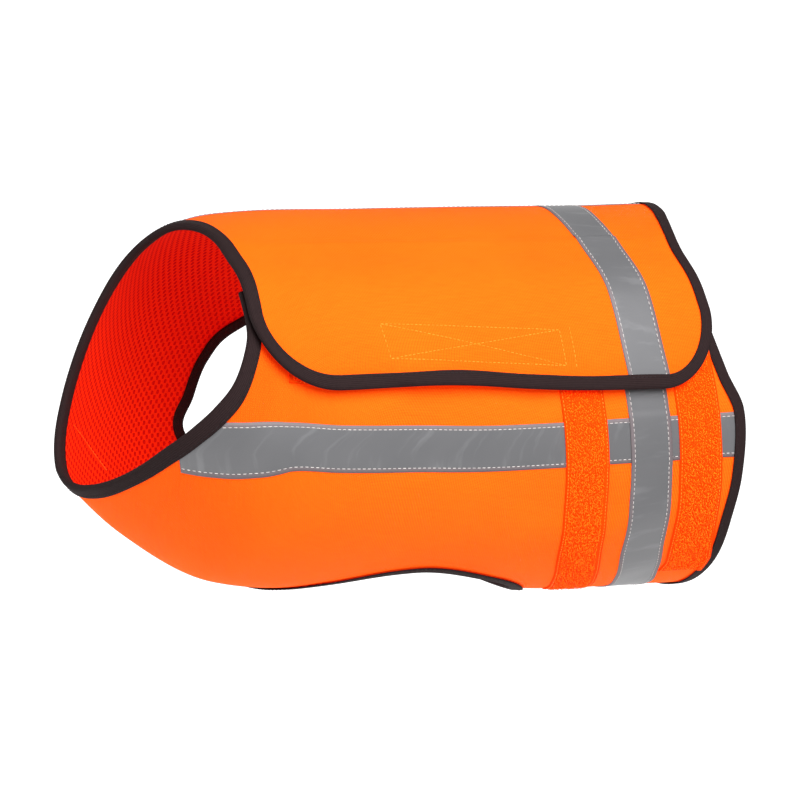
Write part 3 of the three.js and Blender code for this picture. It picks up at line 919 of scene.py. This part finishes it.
share = np.linspace(0, 1, 90)
early = np.linspace(FLAP_SEAM, FLAP_ROOT, 60, endpoint=False)
crowded = np.sin(share * math.pi / 2)
inside = share[1:-1]
down_x, down_angle = flap_place(np.zeros_like(share), crowded)
along_x, along_angle = flap_place(inside, np.ones_like(inside))
up_x, up_angle = flap_place(np.ones_like(share), crowded[::-1])
flap_x = np.concatenate([neck_at(early), down_x, along_x, up_x, rear_at(early[::-1])])
flap_angle = np.concatenate([early, down_angle, along_angle, up_angle, early[::-1]])
flap_x, flap_angle = evenly(flap_x, flap_angle, BINDING_STEP)
thing, length = binding("flap_edge", flap_x, flap_angle, 1, flap_rise)
bindings["flap"] = (hang(thing, "fold", "binding", black_tape, "flap_binding"), length)
print({title: round(length, 3) for title, (_, length) in bindings.items()})

# %% [markdown]
# ## Reflective tapes
# A tape is a ribbon along its route. Its strands run side by side, and each is cut where it meets an edge,
# so a tape that meets the neck at a slant still ends under the binding. Where the ring passes over a side
# tape it lies on top of it, so anything in the second layer rises a little there.

# %% Ribbons
def ribbon_places(x, angle, width, strands, step, margin=None):
    """A grid of places along a route, with strands side by side across the width. margin(x, angle) is above 0
    where the ribbon may lie, and each strand keeps its stretch from the first such place to the last."""
    x, angle = evenly(x, angle, step)
    across = np.linspace(-width / 2, width / 2, strands + 1)
    grid_x, grid_angle = beside(x, angle, across)
    if margin is not None:
        allowed = margin(grid_x, grid_angle) > 0
        rows = len(x)
        first, last = allowed.argmax(0), rows - 1 - allowed[::-1].argmax(0)
        place = first + (last - first) * np.linspace(0, 1, rows)[:, None]
        low = np.clip(np.floor(place).astype(int), 0, rows - 2)
        share = place - low
        grid_x, grid_angle = (
            np.take_along_axis(grid, low, 0) * (1 - share) + np.take_along_axis(grid, low + 1, 0) * share
            for grid in (grid_x, grid_angle))
    length = arc_length(on_body(x, angle))
    cloth_mm = np.stack([np.broadcast_to(length[:, None], grid_x.shape),
                         np.broadcast_to(across, grid_x.shape), np.zeros(grid_x.shape)], -1)
    return grid_x, grid_angle, cloth_mm


SIDE_LINE = [
    (-205, 77), (-186, 69.5), (-165, 62.3), (-141.5, 57), (-106, 56),
    (-8, 56), (52.6, 54.9), (102.3, 53.7), (150.9, 53), (192.5, 52.4),
]
side_tape_at = curve_through(SIDE_LINE)
TUCK, SIDE_TAPE_TOP = 2.0, 1.3
SURFACE_MM_PER_DEGREE = 2.3
RAMP_MM, HEM_REACH = 4, 12
OVER_TAPE_MM, OVER_HEM_MM = 0.55, 1.5


def over_side_tape(x, angle):
    """1 over either side tape and 0 a few millimetres beyond its edges, with a smooth step between."""
    from_spine = 180 - np.abs(180 - np.mod(np.abs(angle), 360))
    away = np.abs(from_spine - side_tape_at(x)) * SURFACE_MM_PER_DEGREE
    t = np.clip((TAPE_WIDTH / 2 + RAMP_MM - away) / RAMP_MM, 0, 1)
    return t * t * (3 - 2 * t)


def second_layer_rise(x, angle):
    """Above whatever a second-layer band crosses: the side tape, or a little of the rear binding."""
    over_hem = np.clip((x - rear_at(angle) + HEM_REACH) / RAMP_MM, 0, 1)
    over_hem = over_hem**2 * (3 - 2 * over_hem)
    return body_rise(x, angle) + OVER_TAPE_MM * over_side_tape(x, angle) + OVER_HEM_MM * over_hem


def between_edges(x, angle):
    """How far a place is inside the neck and rear edges, less the tuck under the binding."""
    return np.minimum(x - neck_at(angle), rear_at(angle) - x) - TUCK


girth_at = on_both_sides(curve_through(
    [(0, 99), (25, 101), (40, 107), (60, 115.5), (90, 131), (107, 146), (120, 156), (180, 165)]))
HEM_ROOM = 6


def ring_route(start, end, from_ring, width):
    """A band beside the ring's front edge, from one angle to another, kept off the rear binding's fold."""
    angle = np.linspace(start, end, 400)
    furthest = rear_at(angle) - HEM_ROOM - width / 2
    return np.minimum(girth_at(angle) + from_ring + width / 2, furthest), angle


# %% Lay the tapes
RING_TOP, TAPE_THICK = 1.35, 0.4
TRIM_TOP = WING_TOP + 4.7
SIDE_TAPE_FROM, SIDE_TAPE_TO = -205, 215


def lay_tape(title, piece, node, body, route, top, rise, step, margin=None):
    """A tape on its route, kept with its area and grid for the stitches and the sizes."""
    x, angle, cloth_mm = ribbon_places(*route, TAPE_WIDTH, 14, step, margin)
    thing, area = panel(piece, x, angle, top, TAPE_THICK, rise, cloth_mm=cloth_mm)
    tapes[title] = (hang(thing, body, "reflective_tape", silver_tape, node), area, x, angle)


def side_route(side):
    x = np.linspace(SIDE_TAPE_FROM, SIDE_TAPE_TO, 400)
    return x, side_tape_at(x) - 360 if side == NEAR else -side_tape_at(x)


tapes = {}
for title, side in (("near_side", NEAR), ("far_side", FAR)):
    lay_tape(title, title + "_tape_strip", title + "_tape", "vest", side_route(side), SIDE_TAPE_TOP,
             body_rise, 1.6, between_edges)
route = ring_route(FLAP_SEAM, TRIM_TOP - 360, 0, TAPE_WIDTH)
lay_tape("ring", "ring_tape", "girth_tape", "vest", route, RING_TOP, second_layer_rise, 1.8)


def above_flap_bottom(x, angle):
    return flap_bottom_at(x) - angle - TUCK / SURFACE_MM_PER_DEGREE


route = ring_route(FLAP_SEAM, 40, 0, TAPE_WIDTH)
lay_tape("flap_ring", "flap_ring_tape", "flap_girth_tape", "fold", route, RING_TOP, flap_rise, 1.6,
         above_flap_bottom)
print({title: round(area, 4) for title, (_, area, *_) in tapes.items()})

# %% [markdown]
# ## Small things by the hundred
# Stitches, loops and hooks are all a short bent wire, repeated. The wire is a four-sided tube along a few
# points in the plane of its length and its height. Whole arrays place every copy at once, each with its own
# shade.

# %% Repeat a small shape over a surface
def small_wire(line, radii):
    """Rings of four corners about each point of a line in (length, height), closed at both ends. Returns
    corners as (length, side, height) and the faces."""
    line, radii = np.array(line, float), np.array(radii, float)
    heading = unit(np.gradient(line, axis=0))
    normal = np.stack([-heading[:, 1], heading[:, 0]], -1)
    rings = []
    for turn in (0, math.pi / 2, math.pi, 3 * math.pi / 2):
        flat = line + normal * (radii * math.cos(turn))[:, None]
        rings.append(np.stack([flat[:, 0], radii * math.sin(turn), flat[:, 1]], -1))
    corners = np.stack(rings, 1)
    count = len(line)
    number = np.arange(count * 4).reshape(count, 4)
    following = np.roll(number, -1, 1)
    sides = np.stack([number[:-1], following[:-1], following[1:], number[1:]], -1).reshape(-1, 4)
    faces = np.vstack([sides, number[:1, ::-1], number[-1:]])
    corners = corners.reshape(-1, 3)
    a, b, c, d = (corners[faces[:, i]] - corners.mean(0) for i in range(4))
    outward = (a * (np.cross(b, c) + np.cross(c, d))).sum() > 0
    return corners, faces if outward else faces[:, ::-1]


def repeat(name, shape, centre, ahead, up, seed):
    """Copies of a small shape: each corner is centre + ahead length + side width + up height."""
    corners, faces = shape
    side = np.cross(up, ahead)
    points = (centre[:, None] + ahead[:, None] * corners[:, :1] + side[:, None] * corners[:, 1:2]
              + up[:, None] * corners[:, 2:])
    quads = (faces + np.arange(len(centre))[:, None, None] * len(corners)).reshape(-1, 4)
    shade = np.repeat(np.random.default_rng(seed).random(len(centre)), len(corners))
    return new_piece(name, points.reshape(-1, 3), quads, {"shade": shade})


def seam(x, angle, height, rise, pitch):
    """Middle, direction and normal of each stitch of a seam, pitch millimetres apart on the cloth."""
    x, angle = evenly(x, angle, pitch)
    ends = off_body(x, angle, height, rise)
    middle = (x[:-1] + x[1:]) / 2, (angle[:-1] + angle[1:]) / 2
    up = directions(*middle)[2]
    ahead = np.diff(ends, axis=0)
    ahead = unit(ahead - up * (ahead * up).sum(-1, keepdims=True))
    return off_body(*middle, height, rise), ahead, up


def stitches(name, seams, length, radius, seed):
    """One piece of thread dashes, each dipping into the cloth at its ends."""
    half = length / 2
    line = [(-half, -radius), (-half * 0.55, radius * 0.35), (half * 0.55, radius * 0.35), (half, -radius)]
    shape = small_wire(line, np.array([0.45, 1, 1, 0.45]) * radius)
    centre, ahead, up = (np.concatenate(parts) for parts in zip(*seams))
    return repeat(name, shape, centre, ahead, up, seed)


# %% Stitch the tapes
TAPE_PITCH, TAPE_STITCH, THREAD = 3.7, 2.7, 0.30


def strand(grid_x, grid_angle, share):
    """The lengthwise line of a ribbon's grid at a share of its width."""
    column = share * (grid_x.shape[1] - 1)
    low = int(column)
    part = column - low
    mix = [grid[:, low] * (1 - part) + grid[:, low + 1] * part for grid in (grid_x, grid_angle)]
    return mix[0], mix[1]


def tape_seams(title, top, rise):
    _, _, x, angle = tapes[title]
    shares = (STITCH_INSET / TAPE_WIDTH, 1 - STITCH_INSET / TAPE_WIDTH)
    return [seam(*strand(x, angle, share), top, rise, TAPE_PITCH) for share in shares]


seams = tape_seams("near_side", SIDE_TAPE_TOP, body_rise) + tape_seams("far_side", SIDE_TAPE_TOP, body_rise)
seams += tape_seams("ring", RING_TOP, second_layer_rise)
tape_thread = stitches("tape_stitching", seams, TAPE_STITCH, THREAD, 1)
hang(tape_thread, "vest", "reflective_tape", pale_thread)
flap_seams = tape_seams("flap_ring", RING_TOP, flap_rise)
flap_tape_thread = stitches("flap_tape_stitching", flap_seams, TAPE_STITCH, THREAD, 2)
hang(flap_tape_thread, "fold", "reflective_tape", pale_thread)
print("tape stitches:", sum(len(middle) for middle, _, _ in seams + flap_seams))

# %% [markdown]
# ## Loop strips
# Two strips of loop fabric come down the near side, one each side of the ring, and a wide patch lies under
# the flap. Loops cover each strip but for a plain woven margin along both edges, where it is stitched down.

# %% Loop strips and their pile
LOOP_WIDTH, LOOP_TOP, MARGIN, STRIP_THICK = 33, 1.75, 2.6, 0.9
LOOP_PITCH = (1.75, 1.45)
LOOP_SHAPE = small_wire([(-0.62, -0.15), (-0.55, 0.55), (0.0, 0.95), (0.55, 0.55), (0.62, -0.15)],
                        [0.17, 0.19, 0.21, 0.19, 0.17])


def pile_on(name, x, angle, high, rise, seed, shape, pitch, tidy=0.0, margin=MARGIN):
    """Loops or hooks all over a ribbon's grid but for its margins: places at an even pitch, moved and turned
    by seeded draws. tidy is 0 for loops that lie every way and 1 for hooks that all face one way."""
    length = arc_length(off_body(x[:, x.shape[1] // 2], angle[:, x.shape[1] // 2], 0, rise))[-1]
    width = arc_length(off_body(x[len(x) // 2], angle[len(x) // 2], 0, rise))[-1]
    rows, columns = int((length - 2 * pitch[0]) / pitch[0]), int((width - 2 * margin) / pitch[1])
    draws = np.random.default_rng(seed)
    down, across = np.meshgrid(np.arange(rows) + 0.5, np.arange(columns) + 0.5, indexing="ij")
    jitter = 0.35 * (1 - tidy)
    down = down + 0.5 * (np.arange(columns) % 2) + draws.uniform(-jitter, jitter, down.shape)
    across = across + draws.uniform(-jitter, jitter, across.shape)
    row = (pitch[0] + down.ravel() * pitch[0]) / length * (x.shape[0] - 1)
    column = (margin + across.ravel() * pitch[1]) / width * (x.shape[1] - 1)
    i = np.clip(row.astype(int), 0, x.shape[0] - 2)
    j = np.clip(column.astype(int), 0, x.shape[1] - 2)
    a, b = row - i, column - j
    place = [(1 - a) * (1 - b) * grid[i, j] + a * (1 - b) * grid[i + 1, j]
             + (1 - a) * b * grid[i, j + 1] + a * b * grid[i + 1, j + 1] for grid in (x, angle)]
    along, round_body, up = directions(*place)
    lean = unit(up + (1 - tidy) * 0.35 * draws.normal(size=up.shape))
    turn = draws.uniform(-1.1, 1.1, len(up)) * (1 - tidy)
    first = unit(round_body - lean * (round_body * lean).sum(-1, keepdims=True))
    ahead = first * np.cos(turn)[:, None] + np.cross(lean, first) * np.sin(turn)[:, None]
    return repeat(name, shape, off_body(*place, high, rise), ahead, lean, seed)


STRIPS = [("front_loop", -51, 122, "front_loop_strip"), ("rear_loop", 38.5, 106, "rear_loop_strip")]
strips = {}


def loop_strip(title, x, angle, rise, node, seed, cloth_mm=None):
    """A woven ground with its loops, kept with its area and grid."""
    thing, area = panel(title + "_ground", x, angle, LOOP_TOP, STRIP_THICK, rise, cloth_mm=cloth_mm)
    hang(thing, "vest", "loop_fabric", ground, node)
    loops = pile_on(title + "_pile", x, angle, LOOP_TOP, rise, seed, LOOP_SHAPE, LOOP_PITCH)
    hang(loops, "vest", "loop_fabric", pile)
    strips[title] = (thing, area, x, angle)


for title, from_ring, end, node in STRIPS:
    route = ring_route(TRIM_TOP - 360, end - 360, from_ring, LOOP_WIDTH)
    x, angle, cloth_mm = ribbon_places(*route, LOOP_WIDTH, 12, 2.2)
    loop_strip(title, x, angle, second_layer_rise, node, len(strips) + 3, cloth_mm)

PATCH = (-143, 47, 14, 37.5)


def patch_grid(front, rear, top, bottom, rows, columns):
    """A plain rectangle in x and angle."""
    x, angle = np.meshgrid(np.linspace(front, rear, columns + 1), np.linspace(top, bottom, rows + 1))
    return x, angle


loop_strip("shoulder_loop", *patch_grid(*PATCH, 24, 80), body_rise, "shoulder_loop_patch", 5)
print({title: round(area, 4) for title, (_, area, *_) in strips.items()})

# %% [markdown]
# ## Hook strips
# Under the flap, one long hook strip meets the shoulder patch and two short ones meet the loop strips.
# Their bristles are stiff, stand in rows, and bend over at the tip.

# %% Hook strips on the flap's underside
HOOK_LOW, HOOK_TOP = -2 * LAYER_GAP - CLOTH, 14
HOOK_PITCH, HOOK_WIDTH = (2.0, 1.7), 25
HOOK_STRIPS = [("front_hook", -40, 31, "front_hook_strip"), ("rear_hook", 38, 22, "rear_hook_strip")]
HOOK_SHAPE = small_wire([(0, 0.1), (0, 0.8), (0.22, 1.15), (0.6, 0.95)], [0.2, 0.19, 0.17, 0.12])
hook_plastic = sewing_thread("hook plastic", (0.95, 0.12, 0.006), (1.0, 0.26, 0.03), (0.35, 0.004, 0))
hooks = {}


def hook_strip(title, x, angle, node, seed, cloth_mm=None):
    """A hook ground with its bristles pointing in, towards the body: the shape's heights are turned over."""
    thing, area = panel(title + "_ground", x, angle, HOOK_LOW, STRIP_THICK, flap_rise, cloth_mm=cloth_mm)
    hang(thing, "flap", "hook_tape", ground, node)
    corners, faces = HOOK_SHAPE
    inward = corners * np.array([1, 1, -1]), faces[:, ::-1]
    under = HOOK_LOW - STRIP_THICK
    bristles = pile_on(title + "_bristles", x, angle, under, flap_rise, seed, inward, HOOK_PITCH, 1.0)
    hang(bristles, "flap", "hook_tape", hook_plastic)
    hooks[title] = (thing, area, x, angle)


hook_strip("shoulder_hook", *patch_grid(-80, 44, 20, 31, 12, 60), "shoulder_hook_strip", 6)
for title, from_ring, low, node in HOOK_STRIPS:
    route = ring_route(HOOK_TOP, low, from_ring, HOOK_WIDTH)
    x, angle, cloth_mm = ribbon_places(*route, HOOK_WIDTH, 10, 2.0)
    hook_strip(title, x, angle, node, 7 + len(hooks), cloth_mm)
print({title: round(area, 4) for title, (_, area, *_) in hooks.items()})

# %% [markdown]
# ## Seams that show
# The hook strip's box of stitches comes through the flap, with a cross inside it and a second line at its
# rear end. The loop strips are sewn along both margins, the bindings along their inner legs, and a dart
# takes in the lining on each side of the chest.

# %% Stitch the hook strip, the loop strips, the bindings and the darts
def line_between(start, end):
    """A straight line in x and angle."""
    return np.linspace(start[0], end[0], 60), np.linspace(start[1], end[1], 60)


BOX = {"top_front": (-78, 20), "top_rear": (55, 22), "low_rear": (57, 32), "low_front": (-74, 30)}
sides = [("top_front", "top_rear"), ("top_rear", "low_rear"), ("low_rear", "low_front"),
         ("low_front", "top_front"), ("top_front", "low_rear"), ("low_front", "top_rear")]
seams = [seam(*line_between(BOX[a], BOX[b]), CLOTH, flap_rise, 3.1) for a, b in sides]
seams.append(seam(*line_between((63, 21), (65, 32.5)), CLOTH, flap_rise, 3.1))
hang(stitches("hook_box_stitching", seams, 2.3, 0.24, 12), "flap", "oxford_cloth", orange_thread)

seams = []
for title in ("front_loop", "rear_loop"):
    _, _, x, angle = strips[title]
    seams += [seam(*strand(x, angle, share), LOOP_TOP, second_layer_rise, 2.8) for share in (0.045, 0.955)]
hang(stitches("loop_strip_stitching", seams, 2.0, 0.2, 13), "vest", "loop_fabric", orange_thread)

LEG_STITCH = 6.4
seams = []
for title, (x, angle, inward, closed, _) in routes.items():
    side_x, side_angle = beside(x, angle, np.array([inward * LEG_STITCH]), closed)
    line_x, line_angle = side_x[:, 0], side_angle[:, 0]
    if closed:
        line_x, line_angle = np.append(line_x, line_x[0]), np.append(line_angle, line_angle[0])
    seams.append(seam(line_x, line_angle, LEG_TOP, body_rise, 3.3))
hang(stitches("binding_stitching", seams, 2.4, 0.2, 14), "vest", "binding", black_thread)
side_x, side_angle = beside(flap_x, flap_angle, np.array([LEG_STITCH]))
flap_seam = seam(side_x[:, 0], side_angle[:, 0], LEG_TOP, flap_rise, 3.3)
hang(stitches("flap_binding_stitching", [flap_seam], 2.4, 0.2, 15), "fold", "binding", black_thread)

DART = [(-214, -148), (-199, -155), (-183, -165.5)]
dart_at = curve_through(DART)
dart_x = np.linspace(DART[0][0], DART[-1][0], 40)
seams = []
for side in (NEAR, FAR):
    dart_angle = dart_at(dart_x) if side == FAR else -dart_at(dart_x) - 360
    seams.append(seam(dart_x, dart_angle, LINING_HIGH - CLOTH - 0.1, body_rise, 3.0))
# Painted highlight: the dart's thin ridge of thread is lighter than the lining, for the lit side of the fold.
hang(stitches("dart_stitching", seams, 3.2, 0.55, 16), "vest", "mesh_lining", dart_thread_and_highlight)

# %% [markdown]
# For every binding, tape, strip and hook strip, the piece that it lies on is picked, and each tape's and
# strip's width and length are measured along its grid. Nothing further is done with them.

# %% Sizes of every sheet
for title, (thing, length) in bindings.items():
    under = "flap_cloth" if title == "flap" else "main_cloth"
for group, rest in ((tapes, "main_cloth"), (strips, "main_cloth"), (hooks, "flap_mesh")):
    for title, (thing, area, x, angle) in group.items():
        width = arc_length(on_body(x[len(x) // 2], angle[len(x) // 2]))[-1] * MM
        length = max(arc_length(on_body(x[:, edge], angle[:, edge]))[-1] for edge in (0, -1)) * MM
        under = "flap_cloth" if title == "flap_ring" else rest

# %% [markdown]
# ## Floor and light
# A pale floor lies well below, so that its shadow stays soft and away from the vest. A white sky lights
# every side, and one big soft lamp from the near side above makes the top a little brighter than the belly.

# %% Floor, sky and lamp
FLOOR_Z, FLOOR_SIZE = -0.9, 14.0


def stage_floor():
    half = FLOOR_SIZE / 2
    mesh = bpy.data.meshes.new("studio_floor")
    ends = [(-half, -half), (half, -half), (half, half), (-half, half)]
    corners = np.array([(x, y, FLOOR_Z) for x, y in ends])
    mesh.from_pydata(corners, [], [(0, 1, 2, 3)])
    floor = bpy.data.objects.new("studio_floor", mesh)
    bpy.context.collection.objects.link(floor)
    paper = Finish("studio paper", roughness=0.9, specular=0.1, glow=(1.0, 1.0, 1.0, 1), glow_strength=0.5)
    paper.shader.inputs["Base Color"].default_value = (0.92, 0.92, 0.92, 1)
    mesh.materials.append(paper.material)


def soft_lamp(name, azimuth, elevation, distance, size, power):
    """An area lamp that looks at the origin from an azimuth and elevation in degrees."""
    a, e = math.radians(azimuth), math.radians(elevation)
    away = np.array([math.sin(a) * math.cos(e), -math.cos(a) * math.cos(e), math.sin(e)])
    side = unit(np.cross([0, 0, 1], away))
    place = np.eye(4)
    place[:3, :3] = np.column_stack([side, np.cross(away, side), away])
    place[:3, 3] = away * distance
    lamp = bpy.data.objects.new(name, bpy.data.lights.new(name, "AREA"))
    lamp.data.size = size
    lamp.data.energy = power
    lamp.matrix_world = Matrix(place.tolist())
    bpy.context.collection.objects.link(lamp)


stage_floor()
soft_lamp("key", -20, 76, 3.0, 2.0, 150)
world = bpy.data.worlds.new("studio")
world.use_nodes = True
world.node_tree.nodes["Background"].inputs["Color"].default_value = (1, 1, 1, 1)
world.node_tree.nodes["Background"].inputs["Strength"].default_value = 0.24
bpy.context.scene.world = world
bpy.context.scene.view_settings.view_transform = "Standard"
